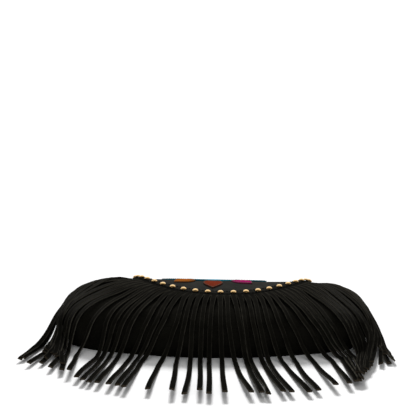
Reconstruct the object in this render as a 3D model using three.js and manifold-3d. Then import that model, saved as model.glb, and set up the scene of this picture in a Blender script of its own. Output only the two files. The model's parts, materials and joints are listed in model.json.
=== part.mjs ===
// Fringed suede flap bag, lying on its back as it is put down.
// Three suede panels make a stuffed pouch, open at its mouth. A half-round flap folds over the mouth onto
// the front. A studded band runs round the flap's edge, and a fringe of cut strips comes out from under
// the band, falls over the pouch and ends on the floor. A leather rosette is sewn onto the flap.
// Millimetres. -Y is the bag's bottom edge, +Y its mouth and +Z the side that faces out when it is worn.
// The origin is on the floor, under the middle of the back panel.

import * as THREE from "three";
import { mergeVertices } from "three/addons/utils/BufferGeometryUtils.js";
import Module from "manifold-3d";

const wasm = await Module();
wasm.setup();

// Driving dimensions

const WALL = 2; // suede of the pouch's panels
const GAP = 0.9; // room between pieces that lie on each other
const HALF_WIDTH = 147; // pouch, from its middle to its fullest side
const LEAN = 0.05; // share by which the stuffing is fuller on the left and slacker on the right
const MOUTH_Y = 94; // plane of the pouch's open mouth

// The pouch's outline from the front: its reach from the origin at each bearing, in degrees from -Y.
const OUTLINE = [
  { bearing: 0, reach: 108 },
  { bearing: 20, reach: 112 },
  { bearing: 34, reach: 119 },
  { bearing: 45, reach: 129.5 },
  { bearing: 52, reach: 137.5 },
  { bearing: 60, reach: 145.5 },
  { bearing: 66, reach: 149 },
  { bearing: 77, reach: 148.5 },
  { bearing: 90, reach: HALF_WIDTH },
  { bearing: 105, reach: 150 },
  { bearing: 120, reach: 157 },
  { bearing: 135, reach: 160 },
  { bearing: 150, reach: 147 },
  { bearing: 180, reach: 134 },
];

// How full the stuffed pouch stands at each distance from its bottom edge to its mouth.
const FULLNESS = [
  { y: -110, height: 31 },
  { y: -75, height: 35 },
  { y: -37, height: 40 },
  { y: -10, height: 44.8 },
  { y: 5, height: 45.6 },
  { y: 25, height: 43 },
  { y: 50, height: 37 },
  { y: 75, height: 30.5 },
  { y: 100, height: 24 },
  { y: 160, height: 10 },
];

// Crown of the front panel: its share of the fullness, by the share of the way out to the outline.
const CROWN = [
  { out: 0, up: 1 },
  { out: 0.4, up: 1.005 },
  { out: 0.62, up: 1.005 },
  { out: 0.75, up: 0.985 },
  { out: 0.84, up: 0.92 },
  { out: 0.9, up: 0.83 },
  { out: 0.95, up: 0.7 },
  { out: 0.985, up: 0.52 },
  { out: 1, up: 0.34 },
];

// Gusset from the front panel's seam to the back panel's: how far out it bulges and how high it stands.
const FRONT_SEAM_OUT = 0.93;
const GUSSET = [
  { along: 0, out: 0.94, rise: 1 },
  { along: 0.25, out: 0.983, rise: 0.7 },
  { along: 0.5, out: 1, rise: 0.4 },
  { along: 0.75, out: 0.988, rise: 0.15 },
  { along: 1, out: 0.96, rise: 0 },
];
const BACK_OUT = 0.955;
const STEPS_AROUND = 42;

// Flap: a half round whose straight arms run back to the fold over the mouth.
const FLAP = { radius: 92, centreX: 6, centreY: 54, thick: 1.8, foldY: 95, foldBulge: 14 };

// Band over the flap's edge, and the row of dome studs along its middle.
const BAND = { innerRadius: 86.5, outerRadius: 95.5, thick: 1.6, arm: 30 };
const STUD = { lineRadius: 91.5, pitch: 12, perSide: 14, radius: 2.8, height: 1.9, seat: 0.3 };

// Rosette of cut leather on the flap: a scalloped centre and a ring of pointed petals.
const ROSETTE = { x: -2, y: 33, thick: 1, centreRadius: 28, scallop: 1.6, petals: 8 };
const PETAL = { start: 31, length: 23, halfWidth: 9.5, base: 0.14, bluntness: 0.8 };

// Fringe: a head strip beside the flap's edge, and flat strips of one length cut from it.
const HEAD = { innerRadius: 92.7, outerRadius: 98, thick: 1.8 };
const STRIP = { rootRadius: 95.8, pitch: 5.4, perSide: 29, width: 4.0, thick: 1.4, length: 176, layer: 1.7 };
const TIPS = { radius: 200, centreX: -2, centreY: 5 }; // ring on the floor where the strips' tips lie

// How the fringe fans out, by the place along the flap's edge: bearing of the tip on its ring, heading of
// the strip as it lands, both in degrees, and how far it first runs straight out from the edge.
const FAN = [
  { s: 0, bearing: 0, heading: 0, outward: 42 },
  { s: 30, bearing: 14, heading: 4, outward: 42 },
  { s: 60, bearing: 28, heading: 8, outward: 43 },
  { s: 90, bearing: 39, heading: 10, outward: 47 },
  { s: 120, bearing: 48, heading: 10, outward: 53 },
  { s: 150, bearing: 53, heading: 8, outward: 58 },
  { s: 180, bearing: 55, heading: 6, outward: 60 },
];

// How a strip is laid: its last straight stretch, the spare way past the tips, the steps along it and the
// sag at each, the steps in which it climbs to its layer, its room round the pouch and its sections.
const DRAPE = { landing: 62, spare: 45, steps: 40, sag: 0.3, passes: 500, climb: 4, clear: 1.02 };
const SECTIONS = { count: 7, bendWeight: 70 };

const COLOURS = {
  blackSuede: "#14130f",
  charcoalSuede: "#2b2a28",
  paleGold: "#c9a26a",
  teal: "#0a86a6",
  rust: "#a5402a",
  magenta: "#c02a72",
  orange: "#c2701c",
};
const PETAL_COLOURS = ["rust", "magenta", "teal", "orange", "rust", "magenta", "teal", "orange"];

// Curves through the tables

function curveThrough(rows, from, to) {
  const positions = rows.map((row) => row[from]);
  const values = rows.map((row) => row[to]);
  const curve = new THREE.CubicInterpolant(positions, values, 1);
  return (at) => curve.evaluate(at)[0];
}

const mirroredOutline = [
  ...OUTLINE.slice(1).reverse().map(({ bearing, reach }) => ({ bearing: -bearing, reach })),
  ...OUTLINE,
];
const reachAt = curveThrough(mirroredOutline, "bearing", "reach");
const fullnessAt = curveThrough(FULLNESS, "y", "height");
const crownAt = curveThrough(CROWN, "out", "up");
const gussetOut = curveThrough(GUSSET, "along", "out");
const gussetRise = curveThrough(GUSSET, "along", "rise");
const tipBearing = curveThrough(FAN, "s", "bearing");
const landingHeading = curveThrough(FAN, "s", "heading");
const runOutward = curveThrough(FAN, "s", "outward");

// The stuffed form that everything lies on

function shareOut(x, y) {
  const bearing = THREE.MathUtils.radToDeg(Math.atan2(x, -y));
  return Math.hypot(x, y) / reachAt(bearing);
}

function crownHeight(x, y) {
  const full = fullnessAt(y) * (1 - (LEAN * x) / HALF_WIDTH);
  return full * crownAt(Math.min(shareOut(x, y), 1));
}

// Point of the outline drawn in to a share of its reach, at a share of a full turn from -Y.
function outlinePoint(turn, out) {
  const bearing = turn * 360 - 180;
  const angle = THREE.MathUtils.degToRad(bearing);
  const reach = reachAt(bearing) * out;
  return { x: reach * Math.sin(angle), y: -reach * Math.cos(angle) };
}

function onCrown({ x, y }, lift) {
  return new THREE.Vector3(x, y, crownHeight(x, y) + lift);
}

// Point beside the flap's edge: s runs along the stud line from its middle, and r is the distance from
// the half round's centre. The arms run straight back.
function besideEdge(s, r) {
  const quarter = Math.PI / 2;
  const turn = THREE.MathUtils.clamp(s / STUD.lineRadius, -quarter, quarter);
  const arm = Math.max(0, Math.abs(s) - STUD.lineRadius * quarter);
  return {
    x: FLAP.centreX + r * Math.sin(turn),
    y: FLAP.centreY - r * Math.cos(turn) + arm,
    turn,
  };
}

const edgeHalfLength = (STUD.lineRadius * Math.PI) / 2 + BAND.arm;

// Solids

function solidFrom(geometry) {
  const merged = mergeVertices(geometry, 1e-4);
  const corners = merged.index.array;
  const triangles = [];
  for (let i = 0; i < corners.length; i += 3) {
    const [a, b, c] = corners.slice(i, i + 3);
    if (a !== b && b !== c && c !== a) triangles.push(a, b, c);
  }
  const vertProperties = merged.attributes.position.array;
  const make = (triVerts) =>
    new wasm.Manifold(new wasm.Mesh({ numProp: 3, vertProperties, triVerts: new Uint32Array(triVerts) }));
  const solid = make(triangles);
  return solid.volume() > 0 ? solid : make(triangles.reverse());
}

// Closed solid between two grids of points: the outer face, the inner face and the rims that join them.
// A wrapped grid closes on itself in u.
function sheet(nu, nv, outer, inner, wrap = false) {
  const columns = wrap ? nu : nu + 1;
  const positions = [];
  for (const face of [outer, inner]) {
    for (let v = 0; v <= nv; v++) {
      for (let u = 0; u < columns; u++) positions.push(...face(u / nu, v / nv).toArray());
    }
  }
  const at = (face, u, v) => (face * (nv + 1) + v) * columns + (u % columns);
  const index = [];
  const quad = (a, b, c, d) => index.push(a, b, c, a, c, d);
  for (let u = 0; u < nu; u++) {
    for (let v = 0; v < nv; v++) {
      quad(at(0, u, v), at(0, u + 1, v), at(0, u + 1, v + 1), at(0, u, v + 1));
      quad(at(1, u, v), at(1, u, v + 1), at(1, u + 1, v + 1), at(1, u + 1, v));
    }
    quad(at(0, u, 0), at(1, u, 0), at(1, u + 1, 0), at(0, u + 1, 0));
    quad(at(0, u, nv), at(0, u + 1, nv), at(1, u + 1, nv), at(1, u, nv));
  }
  for (let v = 0; v < nv && !wrap; v++) {
    quad(at(0, 0, v), at(0, 0, v + 1), at(1, 0, v + 1), at(1, 0, v));
    quad(at(0, nu, v), at(1, nu, v), at(1, nu, v + 1), at(0, nu, v + 1));
  }
  const geometry = new THREE.BufferGeometry();
  geometry.setAttribute("position", new THREE.Float32BufferAttribute(positions, 3));
  geometry.setIndex(index);
  return solidFrom(geometry);
}

// The same surface moved inwards along its own normal, which points away from the given middle point.
function movedIn(surface, depth, middle) {
  const step = 1e-3;
  return (u, v) => {
    const point = surface(u, v);
    const alongU = surface(u + step, v).sub(surface(u - step, v));
    const alongV = surface(u, v + step).sub(surface(u, v - step));
    const normal = alongU.cross(alongV).normalize();
    if (normal.dot(point.clone().sub(middle)) < 0) normal.negate();
    return point.addScaledVector(normal, -depth);
  };
}

function cutAtMouth(solid) {
  const size = 400;
  const box = new THREE.BoxGeometry(size, size, size).translate(0, MOUTH_Y + size / 2, 0);
  box.deleteAttribute("normal");
  box.deleteAttribute("uv");
  return solid.subtract(solidFrom(box));
}

function geometryOf(solid) {
  const { vertProperties, triVerts } = solid.getMesh();
  const geometry = new THREE.BufferGeometry();
  geometry.setAttribute("position", new THREE.BufferAttribute(vertProperties, 3));
  geometry.setIndex(new THREE.BufferAttribute(triVerts, 1));
  geometry.computeVertexNormals();
  return geometry;
}

// A suede or leather piece of one colour.
function leatherPiece(solid, colour) {
  const material = new THREE.MeshStandardMaterial({ color: COLOURS[colour], roughness: 0.95, metalness: 0 });
  return new THREE.Mesh(geometryOf(solid), material);
}

const insidePouch = new THREE.Vector3(0, 0, 20);

// Pouch

function backPanel() {
  const corners = 48;
  const outline = Array.from({ length: corners }, (_, k) => {
    const { x, y } = outlinePoint(k / corners, BACK_OUT);
    return new THREE.Vector2(x, y);
  });
  const plate = new THREE.ExtrudeGeometry(new THREE.Shape(outline), { depth: WALL, bevelEnabled: false });
  plate.deleteAttribute("normal");
  plate.deleteAttribute("uv");
  return leatherPiece(cutAtMouth(solidFrom(plate)), "blackSuede");
}

function gusset() {
  const backSeam = WALL + GAP;
  const surface = (u, v) => {
    const along = THREE.MathUtils.clamp(v, 0, 1);
    const turn = u - Math.floor(u);
    const { x, y } = outlinePoint(turn, gussetOut(along));
    const frontSeam = onCrown(outlinePoint(turn, FRONT_SEAM_OUT), -GAP).z;
    return new THREE.Vector3(x, y, backSeam + (frontSeam - backSeam) * gussetRise(along));
  };
  const ring = sheet(STEPS_AROUND, 4, surface, movedIn(surface, WALL, insidePouch), true);
  return leatherPiece(cutAtMouth(ring), "blackSuede");
}

function frontPanel() {
  const surface = (u, v) => {
    const out = FRONT_SEAM_OUT * Math.sin((Math.max(v, 0) * Math.PI) / 2);
    return onCrown(outlinePoint(u - Math.floor(u), out), 0);
  };
  const inside = movedIn(surface, WALL, insidePouch);
  const middle = new THREE.Vector3(0, 0, crownHeight(0, 0) - WALL);
  const dome = sheet(STEPS_AROUND, 6, surface, (u, v) => (v === 0 ? middle.clone() : inside(u, v)), true);
  return leatherPiece(cutAtMouth(dome), "blackSuede");
}

// Flap and what is sewn to it

// One face of the flap. v runs from the back panel's top edge round the fold, then over the front to the
// flap's edge. The inner face lies one thickness inside the outer one all the way.
function flapFace(lift, bulge, floor) {
  const foldShare = 0.4;
  return (u, v) => {
    const across = FLAP.radius * Math.sin((u - 0.5) * Math.PI);
    const x = FLAP.centreX + across;
    if (v < foldShare) {
      const turn = (v / foldShare) * Math.PI;
      const top = crownHeight(x, FLAP.foldY) + lift;
      const z = floor + ((top - floor) * (1 - Math.cos(turn))) / 2;
      return new THREE.Vector3(x, FLAP.foldY + bulge * Math.sin(turn), z);
    }
    const edgeY = FLAP.centreY - Math.sqrt(Math.max(0, FLAP.radius ** 2 - across ** 2));
    const y = THREE.MathUtils.mapLinear(v, foldShare, 1, FLAP.foldY, edgeY);
    return onCrown({ x, y }, lift);
  };
}

function flap() {
  const outer = flapFace(GAP + FLAP.thick, FLAP.foldBulge, 0);
  const inner = flapFace(GAP, FLAP.foldBulge - FLAP.thick, FLAP.thick);
  return leatherPiece(sheet(18, 12, outer, inner), "charcoalSuede");
}

// A strip of leather along the flap's edge, between two radii and two lifts above the crown.
function edgeStrip(innerRadius, outerRadius, low, thick) {
  const face = (lift) => (u, v) => {
    const s = edgeHalfLength * (2 * u - 1);
    const r = THREE.MathUtils.lerp(innerRadius, outerRadius, v);
    return onCrown(besideEdge(s, r), lift);
  };
  return sheet(30, 1, face(low + thick), face(low));
}

const flapTop = GAP + FLAP.thick;
const bandBottom = flapTop + GAP;
const bandTop = bandBottom + BAND.thick;

function edgeBand() {
  return leatherPiece(edgeStrip(BAND.innerRadius, BAND.outerRadius, bandBottom, BAND.thick), "blackSuede");
}

// Dome stud, turned about Y from its flat seat up to its top.
function studGeometry() {
  const rings = 2;
  const profile = [new THREE.Vector2(0, 0)];
  for (let k = 0; k < rings; k++) {
    const angle = (k / rings) * (Math.PI / 2);
    profile.push(new THREE.Vector2(STUD.radius * Math.cos(angle), STUD.height * Math.sin(angle)));
  }
  profile.push(new THREE.Vector2(0, STUD.height));
  return new THREE.LatheGeometry(profile, 10);
}

function crownNormal(x, y) {
  const step = 1;
  const slopeX = (crownHeight(x + step, y) - crownHeight(x - step, y)) / (2 * step);
  const slopeY = (crownHeight(x, y + step) - crownHeight(x, y - step)) / (2 * step);
  return new THREE.Vector3(-slopeX, -slopeY, 1).normalize();
}

function studs() {
  const row = new THREE.Group();
  const dome = studGeometry();
  const domeAxis = new THREE.Vector3(0, 1, 0);
  for (let i = -STUD.perSide; i <= STUD.perSide; i++) {
    const place = besideEdge(i * STUD.pitch, STUD.lineRadius);
    const normal = crownNormal(place.x, place.y);
    const gold = new THREE.MeshStandardMaterial({ color: COLOURS.paleGold, roughness: 0.3, metalness: 1 });
    const stud = new THREE.Mesh(dome, gold);
    stud.name = `stud_${String(i + STUD.perSide + 1).padStart(2, "0")}`;
    stud.position.copy(onCrown(place, bandTop + STUD.seat));
    stud.quaternion.setFromUnitVectors(domeAxis, normal);
    row.add(stud);
  }
  return row;
}

// A piece of the rosette: place(u, v) gives its plan, which is laid on the flap.
function rosettePiece(nu, nv, place, colour, wrap) {
  const low = flapTop + GAP;
  const face = (lift) => (u, v) => onCrown(place(u, v), lift);
  const solid = sheet(nu, nv, face(low + ROSETTE.thick), face(low), wrap);
  return leatherPiece(solid, colour);
}

function rosette() {
  const group = new THREE.Group();
  const spoke = (angle, r, side) => ({
    x: ROSETTE.x + r * Math.sin(angle) + side * Math.cos(angle),
    y: ROSETTE.y - r * Math.cos(angle) + side * Math.sin(angle),
  });
  const scalloped = (u, v) => {
    const angle = u * 2 * Math.PI;
    const edge = ROSETTE.centreRadius + ROSETTE.scallop * Math.cos(ROSETTE.petals * angle);
    return spoke(angle, edge * v, 0);
  };
  const centre = rosettePiece(32, 2, scalloped, "teal", true);
  centre.name = "rosette_centre";
  group.add(centre);
  for (let k = 0; k < ROSETTE.petals; k++) {
    const angle = (k / ROSETTE.petals) * 2 * Math.PI;
    const leaf = (u, v) => {
      const swell = Math.sin(Math.PI * THREE.MathUtils.lerp(PETAL.base, 1, v) ** PETAL.bluntness);
      return spoke(angle, PETAL.start + PETAL.length * v, (2 * u - 1) * PETAL.halfWidth * swell);
    };
    const petal = rosettePiece(2, 5, leaf, PETAL_COLOURS[k], false);
    petal.name = `petal_${k + 1}`;
    group.add(petal);
  }
  return group;
}

// Fringe

// A line laid over heights that it can't sink below: it sags where nothing holds it up.
function drape(lowest) {
  const z = lowest.slice();
  for (let pass = 0; pass < DRAPE.passes; pass++) {
    for (let k = 1; k < z.length - 1; k++) {
      z[k] = Math.max(lowest[k], (z[k - 1] + z[k + 1]) / 2 - DRAPE.sag);
    }
  }
  return z;
}

// The way of strip i in plan: straight out from the flap's edge, round towards the bag's bottom edge and
// on to its place on the ring of tips, with spare length past it.
function stripPlan(i) {
  const s = Math.abs(i) * STRIP.pitch;
  const side = Math.sign(i);
  const root = besideEdge(i * STRIP.pitch, STRIP.rootRadius);
  const pointing = (degrees) => {
    const angle = THREE.MathUtils.degToRad(degrees * side);
    return new THREE.Vector2(Math.sin(angle), -Math.cos(angle));
  };
  const start = new THREE.Vector2(root.x, root.y);
  const outward = new THREE.Vector2(Math.sin(root.turn), -Math.cos(root.turn));
  const forward = pointing(landingHeading(s));
  const tip = new THREE.Vector2(TIPS.centreX, TIPS.centreY);
  tip.addScaledVector(pointing(tipBearing(s)), TIPS.radius);
  const way = new THREE.CubicBezierCurve(
    start,
    start.clone().addScaledVector(outward, runOutward(s)),
    tip.clone().addScaledVector(forward, -DRAPE.landing),
    tip,
  );
  const points = way.getSpacedPoints(DRAPE.steps);
  const step = way.getLength() / DRAPE.steps;
  for (let run = step; run < DRAPE.spare; run += step) {
    points.push(tip.clone().addScaledVector(forward, run));
  }
  return points;
}

// Both edges of a strip, each draped over the pouch and the floor.
function stripEdges(i) {
  const plan = stripPlan(i);
  const half = STRIP.width / 2;
  const layer = STRIP.thick / 2 + (i & 1) * STRIP.layer;
  const headMiddle = GAP + HEAD.thick / 2;
  return [-half, half].map((side) => {
    const line = plan.map((point, k) => {
      const next = plan[Math.min(k + 1, plan.length - 1)];
      const last = plan[Math.max(k - 1, 0)];
      const along = next.clone().sub(last).normalize();
      return new THREE.Vector2(point.x - along.y * side, point.y + along.x * side);
    });
    const lowest = line.map(({ x, y }, k) => {
      const close = { x: x / DRAPE.clear, y: y / DRAPE.clear };
      const onPouch = onCrown(close, headMiddle + layer * Math.min(1, k / DRAPE.climb)).z;
      return shareOut(close.x, close.y) < 1 ? Math.max(onPouch, layer) : layer;
    });
    const heights = drape(lowest);
    return line.map(({ x, y }, k) => new THREE.Vector3(x, y, heights[k]));
  });
}

// One strip, cut to the fringe's length: a flat band between its two edges, with its sections closest
// together where it bends most.
function strip(i) {
  const [left, right] = stripEdges(i);
  const middle = left.map((point, k) => point.clone().lerp(right[k], 0.5));
  const legs = middle.slice(1).map((point, k) => point.clone().sub(middle[k]));
  const run = [0];
  const weight = [0];
  legs.forEach((leg, k) => {
    const bend = k ? leg.angleTo(legs[k - 1]) : 0;
    run.push(run[k] + leg.length());
    weight.push(weight[k] + leg.length() + SECTIONS.bendWeight * bend);
  });
  const lookUp = (keys, values, key) => {
    const k = Math.max(1, keys.findIndex((value) => value >= key));
    return THREE.MathUtils.mapLinear(key, keys[k - 1], keys[k], values[k - 1], values[k]);
  };
  const places = run.map((_, k) => k);
  const whole = lookUp(run, weight, STRIP.length);
  const face = (side) => (u, v) => {
    const place = lookUp(weight, places, v * whole);
    const k = Math.min(Math.floor(place), legs.length - 1);
    const ends = [left, right].map((edge) => edge[k].clone().lerp(edge[k + 1], place - k));
    const across = ends[1].clone().sub(ends[0]).normalize();
    const normal = across.clone().cross(legs[k]).normalize();
    const centre = ends[0].lerp(ends[1], 0.5).addScaledVector(across, (u - 0.5) * STRIP.width);
    return centre.addScaledVector(normal, (side * STRIP.thick) / 2);
  };
  return sheet(1, SECTIONS.count, face(1), face(-1));
}

function fringe() {
  let joined = edgeStrip(HEAD.innerRadius, HEAD.outerRadius, GAP, HEAD.thick);
  for (let i = -STRIP.perSide; i <= STRIP.perSide; i++) joined = joined.add(strip(i));
  return leatherPiece(joined, "blackSuede");
}

// Assembly

const bag = new THREE.Group();
const pieces = { back_panel: backPanel, gusset, front_panel: frontPanel, flap, edge_band: edgeBand, fringe };
for (const [name, make] of Object.entries(pieces)) {
  const piece = make();
  piece.name = name;
  bag.add(piece);
}
bag.add(rosette(), studs());

export default bag;
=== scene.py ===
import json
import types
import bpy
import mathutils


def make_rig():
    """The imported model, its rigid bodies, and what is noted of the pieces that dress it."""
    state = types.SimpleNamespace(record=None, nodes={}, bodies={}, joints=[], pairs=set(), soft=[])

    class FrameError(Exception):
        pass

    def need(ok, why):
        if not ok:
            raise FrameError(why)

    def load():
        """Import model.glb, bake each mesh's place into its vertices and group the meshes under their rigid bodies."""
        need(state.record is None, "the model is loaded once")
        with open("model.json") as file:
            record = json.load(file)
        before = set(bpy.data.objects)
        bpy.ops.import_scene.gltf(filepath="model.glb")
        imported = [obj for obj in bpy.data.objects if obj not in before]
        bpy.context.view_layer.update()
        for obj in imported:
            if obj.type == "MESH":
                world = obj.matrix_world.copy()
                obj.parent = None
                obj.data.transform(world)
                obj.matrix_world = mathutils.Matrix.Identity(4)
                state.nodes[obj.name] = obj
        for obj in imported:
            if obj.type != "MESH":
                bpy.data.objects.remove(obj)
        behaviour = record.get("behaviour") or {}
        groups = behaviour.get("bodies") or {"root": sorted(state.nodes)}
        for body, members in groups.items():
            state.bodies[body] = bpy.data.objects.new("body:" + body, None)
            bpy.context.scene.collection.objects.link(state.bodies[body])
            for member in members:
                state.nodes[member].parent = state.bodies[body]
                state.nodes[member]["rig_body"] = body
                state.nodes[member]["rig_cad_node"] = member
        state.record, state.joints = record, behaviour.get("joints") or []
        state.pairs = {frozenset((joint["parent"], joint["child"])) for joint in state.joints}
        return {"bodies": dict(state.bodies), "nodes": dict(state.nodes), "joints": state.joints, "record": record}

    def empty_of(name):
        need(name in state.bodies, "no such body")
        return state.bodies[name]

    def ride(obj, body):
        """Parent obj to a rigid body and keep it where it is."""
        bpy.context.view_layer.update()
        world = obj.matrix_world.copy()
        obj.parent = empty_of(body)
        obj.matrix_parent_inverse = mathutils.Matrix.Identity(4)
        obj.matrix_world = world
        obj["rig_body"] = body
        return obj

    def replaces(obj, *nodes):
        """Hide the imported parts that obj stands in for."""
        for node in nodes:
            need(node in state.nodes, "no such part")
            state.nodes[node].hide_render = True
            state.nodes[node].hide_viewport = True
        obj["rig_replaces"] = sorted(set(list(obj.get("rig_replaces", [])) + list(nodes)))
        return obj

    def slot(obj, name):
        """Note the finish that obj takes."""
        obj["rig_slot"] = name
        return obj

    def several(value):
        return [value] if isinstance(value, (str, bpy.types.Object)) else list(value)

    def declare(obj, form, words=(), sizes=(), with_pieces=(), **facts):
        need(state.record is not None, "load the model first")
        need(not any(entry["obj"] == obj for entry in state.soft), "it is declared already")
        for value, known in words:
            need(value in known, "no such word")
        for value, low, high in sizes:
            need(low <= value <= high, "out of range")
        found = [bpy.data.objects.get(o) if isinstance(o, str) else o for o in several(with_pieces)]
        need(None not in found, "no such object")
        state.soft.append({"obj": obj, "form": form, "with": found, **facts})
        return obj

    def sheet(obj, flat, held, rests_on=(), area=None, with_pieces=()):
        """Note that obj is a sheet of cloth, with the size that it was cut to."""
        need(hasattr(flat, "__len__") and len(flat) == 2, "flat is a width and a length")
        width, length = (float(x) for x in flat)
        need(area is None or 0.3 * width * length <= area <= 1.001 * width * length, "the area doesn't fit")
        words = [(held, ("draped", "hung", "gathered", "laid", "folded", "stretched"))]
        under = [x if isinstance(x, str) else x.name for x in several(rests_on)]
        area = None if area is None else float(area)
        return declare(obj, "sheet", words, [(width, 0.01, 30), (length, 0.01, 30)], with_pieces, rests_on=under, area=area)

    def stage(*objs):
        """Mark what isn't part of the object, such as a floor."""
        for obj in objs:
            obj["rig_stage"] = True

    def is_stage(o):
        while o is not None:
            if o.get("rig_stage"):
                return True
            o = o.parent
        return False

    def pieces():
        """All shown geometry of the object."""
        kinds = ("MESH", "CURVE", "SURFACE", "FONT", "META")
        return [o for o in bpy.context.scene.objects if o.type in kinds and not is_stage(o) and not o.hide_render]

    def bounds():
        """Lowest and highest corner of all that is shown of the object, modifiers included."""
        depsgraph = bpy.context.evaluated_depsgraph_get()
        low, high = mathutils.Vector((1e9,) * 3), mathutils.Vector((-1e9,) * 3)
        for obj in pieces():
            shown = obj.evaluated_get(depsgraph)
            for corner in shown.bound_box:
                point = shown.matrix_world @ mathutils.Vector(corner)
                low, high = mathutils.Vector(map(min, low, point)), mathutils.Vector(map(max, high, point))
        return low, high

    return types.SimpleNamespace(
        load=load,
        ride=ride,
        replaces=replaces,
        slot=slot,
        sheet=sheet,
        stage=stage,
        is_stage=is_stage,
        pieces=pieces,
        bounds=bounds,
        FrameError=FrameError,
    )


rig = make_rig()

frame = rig.load()

import json
import math

import bpy
import numpy as np

cad_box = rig.bounds()

# The table and the light. The bag lies on a plain white table under a soft lamp that stands straight
# behind it, so its shadow falls towards the camera. The camera looks at its bottom edge from low down, a
# little right of the middle. Places in this section are in metres.

PHOTO_SIDE = 416
CAMERA_FOCAL_PX = 717
CAMERA_AT = (0.0174, -0.6998, 0.160)
CAMERA_DOWN_DEG = 3.2
CAMERA_TURN_DEG = 2.0
CAMERA_NEAR = 0.01
SENSOR_MM = 36

camera = bpy.data.objects.new("camera", bpy.data.cameras.new("camera"))
camera.data.sensor_width = SENSOR_MM
camera.data.lens = SENSOR_MM * CAMERA_FOCAL_PX / PHOTO_SIDE
camera.data.clip_start = CAMERA_NEAR
camera.location = CAMERA_AT
camera.rotation_euler = (math.radians(90 - CAMERA_DOWN_DEG), 0, math.radians(CAMERA_TURN_DEG))
bpy.context.scene.collection.objects.link(camera)
bpy.context.scene.camera = camera
bpy.context.scene.view_settings.view_transform = "Standard"


class Wire:
    """An output socket of a node tree. Operators add Math nodes, and node() adds any other node."""

    def __init__(self, tree, socket=None):
        self.tree, self.socket = tree, socket

    def node(self, kind, settings=None, inputs=None, output=0):
        """A new node's output. Its settings are set first, then the values or links of its inputs."""
        made = self.tree.nodes.new(kind)
        for key, value in (settings or {}).items():
            setattr(made, key, value)
        for key, value in (inputs or {}).items():
            if isinstance(value, Wire):
                value.into(made.inputs[key])
            else:
                made.inputs[key].default_value = value
        return Wire(self.tree, made.outputs[output])

    def into(self, socket):
        self.tree.links.new(self.socket, socket)

    def maths(self, operation, a, b):
        return self.node("ShaderNodeMath", {"operation": operation}, {0: a, 1: b})

    def __add__(self, other):
        return self.maths("ADD", self, other)

    __radd__ = __add__

    def __sub__(self, other):
        return self.maths("SUBTRACT", self, other)

    def __rsub__(self, other):
        return self.maths("SUBTRACT", other, self)

    def __mul__(self, other):
        return self.maths("MULTIPLY", self, other)

    __rmul__ = __mul__

    def __pow__(self, other):
        return self.maths("POWER", self, other)

    def larger(self, other):
        return self.maths("MAXIMUM", self, other)

    def clamped(self):
        return self.node("ShaderNodeClamp", {}, {"Value": self})

    def blended(self, low, high):
        """The colour low where the value is 0 and high where it is 1, by the Mix node's colour sockets."""
        low, high = (c if isinstance(c, Wire) else (*c, 1) for c in (low, high))
        return self.node("ShaderNodeMix", {"data_type": "RGBA"}, {0: self, 6: low, 7: high}, 2)

    def noise(self, scale, detail=2.0, rough=0.5):
        """Noise over the piece's own place, in lumps of about 1/scale metres."""
        place = self.node("ShaderNodeTexCoord", output="Object")
        wanted = {"Vector": place, "Scale": scale, "Detail": detail, "Roughness": rough}
        return self.node("ShaderNodeTexNoise", {}, wanted)

    def mark(self, label):
        return self.node("ShaderNodeAttribute", {"attribute_name": label}, {}, "Fac")


def new_material(name):
    """An empty material: its Principled shader's sockets and the first wire."""
    material = bpy.data.materials.new(name)
    material.use_nodes = True
    shader = material.node_tree.nodes["Principled BSDF"]
    return material, shader.inputs, Wire(material.node_tree)


TABLE_HALF = 6.0
TABLE_Z = -0.0003
TABLE_WHITE = (0.93, 0.93, 0.93, 1)
TABLE_ROUGH = 0.9

table_mesh = bpy.data.meshes.new("table")
table_corners = TABLE_HALF * np.array([[-1, -1, 0], [1, -1, 0], [1, 1, 0], [-1, 1, 0]])
table_mesh.from_pydata((table_corners + [0, 0, TABLE_Z]).tolist(), [], [[0, 1, 2, 3]])
table = bpy.data.objects.new("table", table_mesh)
bpy.context.scene.collection.objects.link(table)
white_table, white_sockets, _ = new_material("white_table")
white_sockets["Base Color"].default_value = TABLE_WHITE
white_sockets["Roughness"].default_value = TABLE_ROUGH
white_sockets["Specular IOR Level"].default_value = 0.0
table_mesh.materials.append(white_table)
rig.stage(table)

LAMPS = {
    "lamp_behind": {"bearing": 93, "height": 36, "soft": 16, "strength": 4.1},
    "lamp_front": {"bearing": -80, "height": 38, "soft": 60, "strength": 0.8},
}
ROOM_WHITE = (1, 1, 1, 1)
ROOM_STRENGTH = 0.27
ROOM_BRIGHTER = (0.0, 1.2, 0.8)

for name, lamp in LAMPS.items():
    sun = bpy.data.lights.new(name, "SUN")
    sun.energy = lamp["strength"]
    sun.angle = math.radians(lamp["soft"])
    stand = bpy.data.objects.new(name, sun)
    stand.rotation_euler = (math.radians(90 - lamp["height"]), 0, math.radians(lamp["bearing"] + 90))
    stand.visible_glossy = False
    bpy.context.scene.collection.objects.link(stand)

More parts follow.
